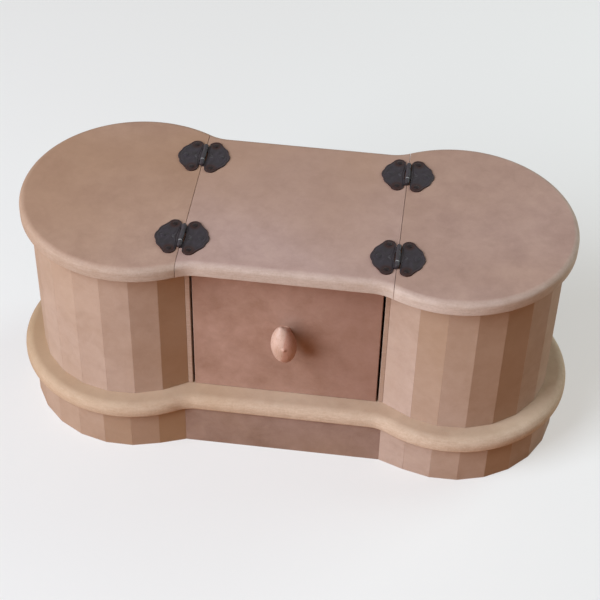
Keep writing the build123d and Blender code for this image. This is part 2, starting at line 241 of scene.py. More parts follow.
def new_material(name):
    """An empty material and its node tree."""
    material = bpy.data.materials.new(name)
    material.use_nodes = True
    material.node_tree.nodes.clear()
    return material, material.node_tree


print("#BCA79A is, linear:", [round(value, 3) for value in linear("#BCA79A")[:3]])

# %% [markdown]
# ## Raw fibreboard
#
# Medium-density fibreboard is wood ground to fibres and pressed with resin. It has no grain: a face
# shows soft clouds a few centimetres wide, smaller mottles and single fibres as fine flecks. A cut
# or routed edge opens the looser core, so it is paler and yellower, with short streaks along the
# board. Sanded and unpainted, it is matt: its roughness stays high and only varies a little, and its
# loose fibres mirror so little that the specular level is set low. Hands leave faint dark smudges on
# it, and sanding leaves paler patches between them. Its hue drifts slowly over the box in blots and
# yellower to the left, because the boards come from different sheets and age unevenly. Higher up the
# boards are painted browner, partly as painted shade under the lid. Towards the back of the top, and
# towards the drawer front's right end, they are painted darker as painted shade.
#
# The patterns read Object coordinates, so they stay on the board when a lid or the drawer moves.
# The edge's share comes either from a mark on the mesh, or on a plain board from how deep a point
# lies inside its thickness, which is nought on its two faces. The mark tone is a stave's share of a
# browner stock: partly the stave's own stock, and partly painted shade on the staves that turn away
# from the window light.

# %% The board's patterns
# Each noise with its size, its detail, its roughness and its distortion
BOARD_NOISES = {
    "clouds": (26 * MM, 3.0, 0.6, 0.0),
    "mottles": (8 * MM, 3.0, 0.6, 0.6),
    "fibres": (1.3 * MM, 2.0, 0.7, 0.0),
    "smudges": (17 * MM, 4.0, 0.6, 0.8),
    "blots": (160 * MM, 1.5, 0.5, 0.5),
}
STREAK_LENGTH, STREAK_WIDTH = 7 * MM, 0.9 * MM


def board_patterns(tree, xyz):
    """The board's noises by name, and streaks that run along the board and are thin across its edge."""
    patterns = {
        name: add_node(
            tree,
            "TexNoise",
            {"Vector": xyz, "Scale": 1 / size, "Detail": detail, "Roughness": rough, "Distortion": distortion},
        )
        for name, (size, detail, rough, distortion) in BOARD_NOISES.items()
    }
    squeeze = (1 / STREAK_LENGTH, 1 / STREAK_LENGTH, 1 / STREAK_WIDTH)
    along_board = add_node(tree, "Mapping", {"Vector": xyz, "Scale": squeeze})
    patterns["streaks"] = add_node(
        tree, "TexNoise", {"Vector": along_board, "Scale": 1.0, "Detail": 2.0, "Roughness": 0.6}
    )
    return patterns


print("The board's noises in mm:", {name: round(noise[0] / MM, 1) for name, noise in BOARD_NOISES.items()})

# %% Sums of patterns and steps of tone
def pattern_sum(tree, *shares):
    """The sum of several patterns, each times its weight."""
    total = 0.0
    for pattern, weight in shares:
        total = add_node(tree, "Math", {0: pattern, 1: weight, 2: total}, operation="MULTIPLY_ADD")
    return total


def two_tones(tree, pattern, spread, tones):
    """Goes from the first tone to the second while a pattern rises past one half, within a spread."""
    share = add_node(tree, "MapRange", {"Value": pattern, "From Min": 0.5 - spread, "From Max": 0.5 + spread})
    return add_node(tree, "Mix", {FACTOR: share, FIRST: tones[0], SECOND: tones[1]}, MIXED, data_type="RGBA")


print("With a spread of 0.12 the tone changes from", round(0.5 - 0.12, 2), "to", round(0.5 + 0.12, 2))

# %% Faces and sawn edges
FACE_SPREAD, FACE_SKIN = 0.17, 0.12 * MM
SMUDGED, PALE_PATCH = "#7E624E", "#CDAE97"


def stained_face(tree, patterns, tones, contrast):
    """A face's two tones by clouds, mottles and fibres, with dark smudges and pale patches.

    The smudges and the patches are the two ends of one noise, so they never overlap.
    """
    blend = pattern_sum(tree, (patterns["clouds"], 0.58), (patterns["mottles"], 0.29), (patterns["fibres"], 0.13))
    face = two_tones(tree, blend, FACE_SPREAD / contrast, tones)
    smudges = patterns["smudges"]
    for stain, least, most, strength in ((SMUDGED, 0.52, 0.72, 0.14), (PALE_PATCH, 0.47, 0.3, 0.1)):
        share = add_node(
            tree, "MapRange", {"Value": smudges, "From Min": least, "From Max": most, "To Max": strength * contrast}
        )
        face = add_node(tree, "Mix", {FACTOR: share, FIRST: face, SECOND: stain}, MIXED, data_type="RGBA")
    return face


def sawn_share(tree, xyz, axis, middle, thickness):
    """1 inside a board's thickness and 0 on its faces, from the distance to its middle plane."""
    across = add_node(tree, "SeparateXYZ", {"Vector": xyz}, axis)
    if middle > 0:
        across = add_node(tree, "Math", {0: across}, operation="ABSOLUTE")
    off_middle = add_node(tree, "Math", {0: across, 1: middle}, operation="SUBTRACT")
    depth = add_node(tree, "Math", {0: off_middle}, operation="ABSOLUTE")
    half = thickness / 2
    return add_node(tree, "MapRange", {"Value": depth, "From Min": half - FACE_SKIN, "From Max": half - 3 * FACE_SKIN})


print("A face's skin in mm:", round(FACE_SKIN / MM, 2))

# %% Drift of hue and painted shade
# The weight per metre upwards, which is partly painted shade under the lid's overhang, and the weight of the clouds
UPWARD_SHADE, CLOUDY = 2.5, 0.3
DRIFT_START, DRIFT_LIMIT = 0.1, 0.62


def drifted_and_shaded(tree, xyz, patterns, colour, warm, blotchy=2.6, rightward=-2.0, rearward=0.0):
    """The hue drifts slowly, in blots and over the box: mostly yellower to the left and upwards.

    The drift is a sum: the blots and the clouds times their weights, and the place on the box in
    metres times a weight for each direction. The weight upwards is partly painted shade under the
    lid. The weights towards the top's rear and towards the drawer front's right end are painted shade.
    """
    right, rear, up = (add_node(tree, "SeparateXYZ", {"Vector": xyz}, axis) for axis in range(3))
    drift = pattern_sum(
        tree,
        (patterns["blots"], blotchy), (right, rightward), (rear, rearward), (up, UPWARD_SHADE), (patterns["clouds"], CLOUDY),
    )
    least = DRIFT_START + blotchy / 2
    share = add_node(
        tree, "MapRange", {"Value": drift, "From Min": least, "From Max": least + 1.0, "To Max": DRIFT_LIMIT}
    )
    return add_node(tree, "Mix", {FACTOR: share, FIRST: colour, SECOND: warm}, MIXED, data_type="RGBA")


print("The drift mixes in at most", DRIFT_LIMIT, "of the warmer tone")

# %% The finished board
EDGE_SPREAD, NAP_HEIGHT, BROWN_STOCK_AND_SHADE = 0.12, 0.12 * MM, "#A27C54"
RIM = ("#BFA490", "#D0B8A6")


def fibreboard(name, face, edge, warm="#AC8B6B", contrast=1.0, board=None, **drift):
    """Raw sanded fibreboard: two tones on its faces and two on its edges, stained and drifting in hue.

    A board gives its thin axis, middle plane and thickness. A shaped piece has the mark edge instead.
    Part of the drift, and part of the tone mark's browner stock, is painted shade.
    """
    material, tree = new_material(name)
    xyz = add_node(tree, "TexCoord", output=3)
    patterns = board_patterns(tree, xyz)
    streaks, mottles, fibres = (patterns[kind] for kind in ("streaks", "mottles", "fibres"))
    face = stained_face(tree, patterns, face, contrast)
    edge = two_tones(tree, pattern_sum(tree, (streaks, 0.4), (mottles, 0.3), (fibres, 0.3)), EDGE_SPREAD, edge)
    if board is None:
        share = add_node(tree, "Attribute", output=2, attribute_name="edge")
    else:
        share = sawn_share(tree, xyz, *board)
    colour = add_node(tree, "Mix", {FACTOR: share, FIRST: face, SECOND: edge}, MIXED, data_type="RGBA")
    colour = drifted_and_shaded(tree, xyz, patterns, colour, warm, **drift)
    # The tone mark mixes in a browner stock: partly the stave's own stock, partly painted shade
    stock_and_shade = add_node(tree, "Attribute", output=2, attribute_name="tone")
    colour = add_node(tree, "Mix", {FACTOR: stock_and_shade, FIRST: colour, SECOND: BROWN_STOCK_AND_SHADE}, MIXED, data_type="RGBA")

    matt = add_node(
        tree, "MapRange", {"Value": mottles, "From Min": 0.3, "From Max": 0.7, "To Min": 0.78, "To Max": 0.9}
    )
    nap = pattern_sum(tree, (fibres, 1.0), (mottles, 0.5))
    bump = add_node(tree, "Bump", {"Strength": 0.35, "Distance": NAP_HEIGHT, "Height": nap})
    shader = add_node(
        tree,
        "BsdfPrincipled",
        {"Base Color": colour, "Roughness": matt, "IOR": 1.45, "Specular IOR Level": 0.2, "Normal": bump},
    )
    add_node(tree, "OutputMaterial", {"Surface": shader})
    return material


stave_board = fibreboard("fibreboard_staves", ("#B49886", "#CDB3A3"), RIM, contrast=0.8)
plate_board = fibreboard(
    "fibreboard_plate", ("#B7987F", "#CBB096"), ("#C2A48A", "#D6BCA3"), warm="#B08C66", contrast=0.7, rightward=-4.0
)
print("Boards of one stock:", stave_board.name, plate_board.name)

# %% Boards of the top
# Its three panels come from different offcuts: face tones, edge tones and strength of the clouds
TOP_TONES = {
    "left": (("#A68271", "#C39E8A"), ("#B39B88", "#C4AE9D"), 0.9),
    "middle": (("#AC8A7E", "#CAA799"), ("#BCA594", "#CDB8A9"), 0.75),
    "right": (("#A78476", "#C4A08F"), ("#C2AB9A", "#D3BEAF"), 0.75),
}
# Towards the rear the top's boards are painted browner and darker: painted shade at the back of the top
top_boards = {
    panel: fibreboard(
        f"fibreboard_top_{panel}", face, edge, warm="#AA805E", contrast=contrast, blotchy=1.8, rearward=4.5
    )
    for panel, (face, edge, contrast) in TOP_TONES.items()
}
print("Boards of the top:", [material.name for material in top_boards.values()])

# %% [markdown]
# ## The rim of a routed board
#
# The top and the plate are both cut from flat board and run round with a rounding cutter. The rim is
# a profile: a small quarter circle below, a straight face and a larger quarter circle above, each
# point given by how far it stands in from the outline and how high it is. The profile ends a little
# way in on the flat faces, so that their big flat caps meet points whose normals are upright.

# %% Rim profile
FLAT_MARGIN = 0.6 * MM
ROUNDING_STEPS = 8


def rim_profile(bottom, top, top_rounding, bottom_rounding):
    """Inset, height and edge share of a rim, from its underside up to its top face.

    Along a quarter circle with angle t, the inset is its radius times 1 - sin t below and 1 - cos t
    above, and the height leaves the board's face the other way round.
    """
    turn = np.linspace(0.0, math.pi / 2, ROUNDING_STEPS + 1)
    inset = np.concatenate([
        [bottom_rounding + FLAT_MARGIN],
        bottom_rounding * (1 - np.sin(turn)),
        top_rounding * (1 - np.cos(turn)),
        [top_rounding + FLAT_MARGIN],
    ])
    height = np.concatenate([
        [bottom],
        bottom + bottom_rounding * (1 - np.cos(turn)),
        top - top_rounding * (1 - np.sin(turn)),
        [top],
    ])
    share = np.concatenate([[0.0], np.sin(turn), np.cos(turn), [0.0]])
    return inset, height, share


print("Points on a rim:", rim_profile(0.0, 10 * MM, 4 * MM, MM)[0].size)

# %% [markdown]
# ## The lids
#
# Each lid is a disc cut straight along the seam. Every height of its rim is an arc about the disc's
# centre, and its radius is the disc's less the inset there. An arc ends where it meets the seam's
# plane, at the angle whose cosine is the plane's distance over the arc's radius, so the rim's
# rounding runs cleanly into the sawn face. Three flat caps close it: top, underside and sawn face.

# %% Lids
TOP_RADIUS = 75.5 * MM
TOP_CENTRE_X = 101.5 * MM
TOP_ROUNDING = 4.0 * MM
UNDERSIDE_ROUNDING = 0.9 * MM
LID_COLUMNS = 181
SAWN_EASING = 0.16 * MM
SEAM_X, SEAM_HALF_GAP = 66.5 * MM, 0.13 * MM
top_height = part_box("centre_top")[1].z


def lid_part(side):
    """The disc's arcs from the seam's front end round to its rear end, with the caps that close it."""
    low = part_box("lid_right" if side > 0 else "lid_left")[0]
    seam_x = SEAM_X + SEAM_HALF_GAP
    inset, height, share = rim_profile(low.z, top_height, TOP_ROUNDING, UNDERSIDE_ROUNDING)
    radius = TOP_RADIUS - inset
    reach = np.arccos((seam_x - TOP_CENTRE_X) / radius)
    angle = np.linspace(-1.0, 1.0, LID_COLUMNS)[:, None] * reach[None, :]
    x = side * (TOP_CENTRE_X + radius * np.cos(angle))
    y = radius * np.sin(angle)
    grid = np.stack([x, y, np.broadcast_to(height, x.shape)], axis=-1)
    rows, columns = x.shape
    number = np.arange(rows * columns).reshape(rows, columns)
    caps = [number[:, 0], number[:, -1], np.concatenate([number[0], number[-1, ::-1]])]
    return surface(grid, caps, edge=share[None, :])


for side, side_name in ((-1, "left"), (1, "right")):
    lid = make_piece(
        f"lid_board_{side_name}", [lid_part(side)], f"{side_name}_lid", [f"lid_{side_name}"],
        top_boards[side_name],
    )
    ease_arrises(lid, SAWN_EASING)

# %% [markdown]
# ## The fixed middle panel
#
# The middle of the top narrows to a straight-sided waist. Its outline is a straight line, then a
# hollow arc, then a little of the end's disc. Here one closed section is carried along the box: at
# each station the front rim, the top face, the rear rim and the underside. At an inset d the straight
# line moves in by d, the hollow arc's radius grows by d and the disc's shrinks by d, and the two arcs
# still touch each other, because the distance between their centres stays the sum of their radii.

# %% Edge of the waist
TOP_HALF_WAIST = 63.5 * MM
TOP_FILLET = 26.0 * MM


def waist_edge(x, inset):
    """How far the edge stands from the middle line at each x, for an inset from the outline."""
    lift = TOP_HALF_WAIST + TOP_FILLET
    hollow_x = TOP_CENTRE_X - math.sqrt((TOP_RADIUS + TOP_FILLET) ** 2 - lift ** 2)
    along = np.abs(x)
    touch_x = TOP_CENTRE_X - (TOP_CENTRE_X - hollow_x) * (TOP_RADIUS - inset) / (TOP_RADIUS + TOP_FILLET)
    straight = TOP_HALF_WAIST - inset + 0.0 * along
    arc = lift - np.sqrt(np.maximum((TOP_FILLET + inset) ** 2 - (along - hollow_x) ** 2, 0.0))
    disc = np.sqrt(np.maximum((TOP_RADIUS - inset) ** 2 - (along - TOP_CENTRE_X) ** 2, 0.0))
    return np.where(along < hollow_x, straight, np.where(along < touch_x, arc, disc))


print("The panel is", round(2 * float(waist_edge(SEAM_X, 0.0)) / MM, 1), "mm deep at a seam")

# %% Middle panel
PANEL_STATIONS = 161


def middle_panel_part():
    """The section's points at each station: x along the box, y from the waist's edge, z from the rim."""
    low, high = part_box("centre_top")
    inset, height, share = rim_profile(low.z, high.z, TOP_ROUNDING, UNDERSIDE_ROUNDING)
    x = np.linspace(SEAM_HALF_GAP - SEAM_X, SEAM_X - SEAM_HALF_GAP, PANEL_STATIONS)[:, None]
    y = waist_edge(x, inset[None, :])
    across = np.concatenate([-y, y[:, ::-1]], axis=1)
    up = np.concatenate([height, height[::-1]])
    grid = np.stack(np.broadcast_arrays(x, across, up[None, :]), axis=-1)
    count = up.size
    caps = [np.arange(count), np.arange(count) + (PANEL_STATIONS - 1) * count]
    return surface(grid, caps, closed_columns=True, edge=np.concatenate([share, share[::-1]])[None, :])


middle_panel = make_piece(
    "middle_panel", [middle_panel_part()], "carcass", ["centre_top"], top_boards["middle"]
)
ease_arrises(middle_panel, SAWN_EASING)

# %% [markdown]
# ## The base plate
#
# The plate has the same dog-bone plan, a little longer, and its upper arris is worked to a full
# round nose. The whole outline is one closed line of points with their outward directions: a disc
# at each end, four hollow arcs and two straight runs. A profile point stands in from the line along
# that direction, which keeps every arc an arc.

# %% Outline of the plate
TOWER_CENTRE_X = 108.0 * MM
PLATE_RADIUS = 76.5 * MM
PLATE_HALF_WAIST = 62.5 * MM
PLATE_HOLLOW = 24.0 * MM
END_POINTS, HOLLOW_POINTS, STRAIGHT_POINTS = 150, 24, 40


def plate_outline():
    """The closed outline, anticlockwise from the right end's front, with its outward directions.

    The right disc spans the angles between the two touch points. A hollow arc's outward direction
    points to its own centre, which lies outside the board.
    """
    lift = PLATE_HALF_WAIST + PLATE_HOLLOW
    hollow_x = TOWER_CENTRE_X - math.sqrt((PLATE_RADIUS + PLATE_HOLLOW) ** 2 - lift ** 2)
    touch = math.atan2(lift, hollow_x - TOWER_CENTRE_X)
    end_angle = np.linspace(-touch, touch, END_POINTS)
    end_out = np.stack([np.cos(end_angle), np.sin(end_angle)], axis=-1)
    end = np.array([TOWER_CENTRE_X, 0.0]) + PLATE_RADIUS * end_out
    turn = np.linspace(touch - math.pi, -math.pi / 2, HOLLOW_POINTS)[1:]
    hollow_in = np.stack([np.cos(turn), np.sin(turn)], axis=-1)
    rear_hollow = np.array([hollow_x, lift]) + PLATE_HOLLOW * hollow_in
    straight_x = np.linspace(hollow_x, -hollow_x, STRAIGHT_POINTS)[1:-1]
    rear_straight = np.stack([straight_x, np.full(straight_x.size, PLATE_HALF_WAIST)], axis=-1)
    straight_out = np.tile([0.0, 1.0], (straight_x.size, 1))
    half = np.concatenate([end, rear_hollow, rear_straight, (rear_hollow * [-1, 1])[::-1]])
    half_out = np.concatenate([end_out, -hollow_in, straight_out, (-hollow_in * [-1, 1])[::-1]])
    return np.concatenate([half, -half]), np.concatenate([half_out, -half_out])


outline, outward = plate_outline()
runs = np.linalg.norm(np.roll(outline, -1, axis=0) - outline, axis=-1)
print("The plate's rim is", round(float(runs.sum()) / MM), "mm long")

# %% Base plate
PLATE_TOP_ROUNDING = 6.0 * MM
PLATE_BOTTOM_ROUNDING = 2.0 * MM


def base_plate_part():
    """Every outline point less the rim's insets along its outward direction, at the rim's heights."""
    low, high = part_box("base_plate")
    inset, height, share = rim_profile(low.z, high.z, PLATE_TOP_ROUNDING, PLATE_BOTTOM_ROUNDING)
    plan = outline[:, None, :] - inset[None, :, None] * outward[:, None, :]
    up = np.broadcast_to(height, plan.shape[:2])[..., None]
    count = height.size
    first = np.arange(len(outline)) * count
    return surface(
        np.concatenate([plan, up], axis=-1), [first, first + count - 1], closed_rows=True, edge=share[None, :]
    )


make_piece("plate_board", [base_plate_part()], "carcass", ["base_plate"], plate_board)

# %% [markdown]
# ## Towers and plinth rings of staves
#
# A round tower of flat board is coopered: straight staves with mitred sides stand in a ring. The
# joints lie on a circle about the tower's centre, one stave's width apart, and the first and last
# stave run on to the straight middle of the box. Each stave is a separate closed prism with its
# arrises just broken, and stands a hair in or out of its neighbours, as glued pieces do. A mark
# gives each its own tone: partly because they are sawn from different offcuts, and partly as
# painted shade on the staves that turn away from the window light.

# %% Outer corners of a ring
TOWER_RADIUS, TOWER_STAVE_WIDTH = 63.3 * MM, 18.3 * MM
PARTITION_OUTER_X, BLOCK_HALF_DEPTH = 64.5 * MM, 47.5 * MM
RIGHT_JOINTS_SHIFT = 4.0 * MM
PLINTH_RADIUS, PLINTH_STAVE_WIDTH = 71.0 * MM, 18.4 * MM
PLINTH_BOARD_HALF_LENGTH, PLINTH_BOARD_FACE_Y = 65.0 * MM, 59.8 * MM


def unit(vectors):
    """Vectors of length one in the same directions."""
    return vectors / np.linalg.norm(vectors, axis=-1, keepdims=True)


def ring_corners(radius, width, shift, end_x, end_y):
    """Outer corners of a right-hand ring, seen from above, from its front end to its rear end.

    A stave's width spans the angle 2 asin(width / 2 radius). The joints lie at multiples of it on
    both sides of the ring's middle, as many as leave room for an end stave at each end.
    """
    pitch = 2 * math.asin(width / (2 * radius))
    open_half = math.acos((end_x - TOWER_CENTRE_X) / radius)
    joints = round(2 * open_half / pitch) - 1
    angle = (np.arange(joints) - (joints - 1) / 2) * pitch + shift / radius
    circle = np.stack([TOWER_CENTRE_X + radius * np.cos(angle), radius * np.sin(angle)], axis=-1)
    return np.concatenate([[[end_x, -end_y]], circle, [[end_x, end_y]]])


left_tower = ring_corners(TOWER_RADIUS, TOWER_STAVE_WIDTH, 0.0, PARTITION_OUTER_X, BLOCK_HALF_DEPTH)
right_tower = ring_corners(
    TOWER_RADIUS, TOWER_STAVE_WIDTH, RIGHT_JOINTS_SHIFT, PARTITION_OUTER_X, BLOCK_HALF_DEPTH
)
plinth = ring_corners(PLINTH_RADIUS, PLINTH_STAVE_WIDTH, 0.0, PLINTH_BOARD_HALF_LENGTH, PLINTH_BOARD_FACE_Y)
print("Staves in a tower:", len(left_tower) - 1, "and in a plinth ring:", len(plinth) - 1)

# %% Solid staves
STAVE_THICKNESS = 6.0 * MM
STAVE_STEP = 0.03 * MM
dice = np.random.default_rng(11)


def inner_corners(outer):
    """The corners one thickness further in.

    At a joint the inner corner lies on the mitre, the mean of the two inward directions, at the
    thickness over the cosine of half the turn. At an end it lies straight behind, along Y.
    """
    along = unit(np.diff(outer, axis=0))
    inward = np.stack([-along[:, 1], along[:, 0]], axis=-1)
    mitre = unit(inward[:-1] + inward[1:])
    reach = STAVE_THICKNESS / np.sum(mitre * inward[:-1], axis=-1, keepdims=True)
    inner = outer.copy()
    inner[1:-1] += mitre * reach
    drop = STAVE_THICKNESS / np.abs(along[[0, -1], 0])
    inner[[0, -1], 1] += np.array([1.0, -1.0]) * drop
    return inner


def stave_parts(side, outer, bottom, top, tones):
    """Every stave of a ring as an eight-cornered prism, shifted a hair along its own face's normal."""
    inner = inner_corners(outer)
    ring = np.stack([outer[:-1], outer[1:], inner[1:], inner[:-1]], axis=1)
    along = unit(np.diff(outer, axis=0))
    outward = np.stack([along[:, 1], -along[:, 0]], axis=-1)
    count = len(ring)
    step = dice.uniform(-STAVE_STEP, 0.0, count)
    ring[:, :2] += (outward * step[:, None])[:, None, :]
    ring = ring * [side, 1.0]
    parts = []
    for corners, tone in zip(ring, np.resize(tones, count)):
        levels = [np.column_stack([corners, np.full(4, height)]) for height in (bottom, top)]
        parts.append(
            surface(np.stack(levels), [(0, 1, 2, 3), (4, 5, 6, 7)], closed_columns=True, tone=tone, edge=0.0)
        )
    return parts


turns = np.degrees(np.arctan2(*np.diff(left_tower, axis=0).T[::-1]))
print("Turn from stave to stave in degrees:", np.round(np.diff(turns)[1:3], 1))

# %% The four rings
STAVE_EASING, STAVE_EASED_ABOVE = 0.12 * MM, 20.0
# Each stave's share of the browner stock, from the front end round to the rear: partly stock, and
# partly painted shade, highest on the staves that face right, away from the window light
STAVE_TONES = {
    "tower_left": (0.6, 0.2, 0.1, 0.1, 0.12, 0.1, 0.2, 0.05, 0.15, 0.3),
    "tower_right": (0.0, 0.32, 0.16, 0.3, 0.45, 0.1, 0.2, 0.05, 0.15, 0.3),
    "plinth_left": (0.75, 0.45, 0.5, 0.32, 0.3, 0.25, 0.3, 0.2, 0.3, 0.15),
    "plinth_right": (0.04, 0.06, 0.22, 0.3, 0.65, 0.3, 0.2, 0.25, 0.15, 0.3),
}


def make_ring(name, node, side, outer):
    """One ring of staves in place of its CAD node, with its arrises broken."""
    low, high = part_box(node)
    parts = stave_parts(side, outer, low.z, high.z, STAVE_TONES[name])
    ring = make_piece(name, parts, "carcass", [node], stave_board, merge=False)
    ease_arrises(ring, STAVE_EASING, degrees=STAVE_EASED_ABOVE)


for side, side_name, tower in ((-1, "left", left_tower), (1, "right", right_tower)):
    make_ring(f"tower_{side_name}", f"tower_staves_{side_name}", side, tower)
    make_ring(f"plinth_{side_name}", f"plinth_staves_{side_name}", side, plinth)

# %% [markdown]
# ## Plain boards
#
# Partitions, panels and the drawer's boards are straight rectangles, so the CAD meshes stay. Their
# loose triangles are welded, and a narrow bevel breaks the arrises, which then catch a thin line of
# light as real ones do. Each board's material knows the board's middle plane and thickness, and so
# paints faces and sawn edges differently.

# %% Weld and ease
BOARD_EASING = 0.35 * MM
WELD_DISTANCE = 0.002 * MM


def finish_board(node, material):
    """Welds and eases a CAD board and gives it one material."""
    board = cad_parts[node]
    weld = board.modifiers.new("weld", "WELD")
    weld.merge_threshold = WELD_DISTANCE
    ease_arrises(board, BOARD_EASING)
    board.data.materials.clear()
    board.data.materials.append(material)


def board_plane(node):
    """Which way a board is thin, where its middle plane lies on that axis, and its thickness."""
    low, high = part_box(node)
    size = high - low
    axis = min(range(3), key=lambda index: size[index])
    return axis, abs((low[axis] + high[axis]) / 2), size[axis]


print("Arrises of the boards are broken by", round(BOARD_EASING / MM, 2), "mm")

# %% Boards
INSIDE = ("#A08877", "#BFA797")
BOARD_GROUPS = {
    "partitions": (["partition_left", "partition_right"], INSIDE, ("#AC8E7A", "#BFA290")),
    "back": (["back_panel"], INSIDE, RIM),
    # The plinth boards' tones are a little darker than their board: painted shade under the plate's overhang
    "plinth_boards": (["plinth_front_board", "plinth_back_board"], ("#8A6D5D", "#AA8D7F"), ("#A18574", "#B19788")),
    "drawer_front": (["drawer_front"], ("#9B7662", "#B99482"), RIM),
    "drawer_sides": (["drawer_side_left", "drawer_side_right"], INSIDE, RIM),
    "drawer_back": (["drawer_back"], INSIDE, RIM),
    "drawer_bottom": (["drawer_bottom"], INSIDE, RIM),
}
# The drawer front is painted browner and darker towards its right end: painted shade, away from the window light on
# the left
DRIFTS_AND_SHADE = {"drawer_front": {"warm": "#8E6656", "rightward": 5.0}}
for group, (names, face, edge) in BOARD_GROUPS.items():
    plane = board_plane(names[0])
    drift = DRIFTS_AND_SHADE.get(group, {})
    material = fibreboard(f"fibreboard_{group}", face, edge, contrast=0.9, board=plane, **drift)
    for name in names:
        finish_board(name, material)
    print(f"{group}: thin along {'XYZ'[plane[0]]}, {plane[2] / MM:.1f} mm thick")

# %% [markdown]
# ## The knob
#
# The drawer's pull is an egg of beech standing upright on a short round neck. It keeps two small
# marks of the lathe: a tip on top, and a nub on its front. The egg is a turned surface about Z with
# an ellipse for its profile, and the marks are soft hills raised on its grid. The neck is turned
# about Y instead: its grid is made about Z and then laid over.
# Beech is pale and even, with short fine flecks along the grain. The egg's right side and its lower
# part are painted redder and darker, as painted shade. Unfinished but smooth, it has a soft sheen, so
# its roughness is lower than the board's.

# %% The egg
EGG_HALF_WIDTH, EGG_HALF_HEIGHT, EGG_TAPER = 8.1 * MM, 13.8 * MM, 0.07
EGG_LEAN = math.radians(7.0)
EGG_RINGS, EGG_STEPS = 97, 144
TIP_RADIUS, TIP_HEIGHT, TIP_SIDE = 1.7 * MM, 0.8 * MM, -0.6 * MM
NUB_RADIUS, NUB_HEIGHT, NUB_SIDE, NUB_RISE = 1.2 * MM, 0.95 * MM, 1.4 * MM, 2.4 * MM


def egg_grid():
    """An ellipse turned about Z, a little narrower upwards.

    At latitude p the radius is half the width times cos p, less a share that grows with sin p. Two
    soft hills are added, each as high as its height times exp(-(distance / radius)^2): the tip at
    the top pole, and the nub on the front. Last the egg is turned about Y by its lean, because the
    one screw that holds it lets it settle a little out of upright.
    """
    polar = np.linspace(-math.pi / 2, math.pi / 2, EGG_RINGS)
    radius = EGG_HALF_WIDTH * np.cos(polar) * (1.0 - EGG_TAPER * np.sin(polar))
    grid = lathe(radius, EGG_HALF_HEIGHT * np.sin(polar), steps=EGG_STEPS)
    from_tip = np.hypot(grid[..., 0] - TIP_SIDE, grid[..., 1])
    upper = grid[..., 2] > 0
    grid[..., 2] += np.where(upper, TIP_HEIGHT * np.exp(-(from_tip / TIP_RADIUS) ** 2), 0.0)
    from_nub = np.hypot(grid[..., 0] - NUB_SIDE, grid[..., 2] - NUB_RISE)
    front = grid[..., 1] < 0
    grid[..., 1] -= np.where(front, NUB_HEIGHT * np.exp(-(from_nub / NUB_RADIUS) ** 2), 0.0)
    along, up = grid[..., 0], grid[..., 2]
    cosine, sine = math.cos(EGG_LEAN), math.sin(EGG_LEAN)
    return np.stack([cosine * along - sine * up, grid[..., 1], sine * along + cosine * up], axis=-1)


print("The egg in mm:", np.round(np.ptp(egg_grid().reshape(-1, 3), axis=0) / MM, 1))

# %% Its neck
NECK_RADIUS, NECK_FLARE, NECK_RINGS = 3.2 * MM, 0.5 * MM, 17
KNOB_STAND_OFF = 13.0 * MM
knob_low, knob_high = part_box("knob")
knob_centre = Vector((0.0, knob_high.y - KNOB_STAND_OFF, knob_low.z + EGG_HALF_HEIGHT))


def laid_over(grid):
    """Turns a grid made about Z so that its top looks to the front, along -Y."""
    return np.stack([grid[..., 0], -grid[..., 2], grid[..., 1]], axis=-1)


def knob_parts():
    """The egg and its neck, whose radius is least half way: less a flare times sin^2 along it."""
    down = np.linspace(0.0, 1.0, NECK_RINGS)
    neck_radius = NECK_RADIUS - NECK_FLARE * np.sin(math.pi * down) ** 2
    neck_height = -KNOB_STAND_OFF * (1 - down)
    neck = laid_over(lathe([0.0, *neck_radius, 0.0], [neck_height[0], *neck_height, 0.0]))
    parts = [surface(part, closed_rows=True) for part in (egg_grid(), neck)]
    return [(points + np.array(knob_centre), faces, marks) for points, faces, marks in parts]


print("The knob's centre in mm:", [round(value / MM, 1) for value in knob_centre])

# %% Turned beech
FLECK_WIDTH, FLECK_LENGTH, FLECK_DEPTH, BAND_SIZE = 0.6 * MM, 5.0 * MM, 0.05 * MM, 9 * MM


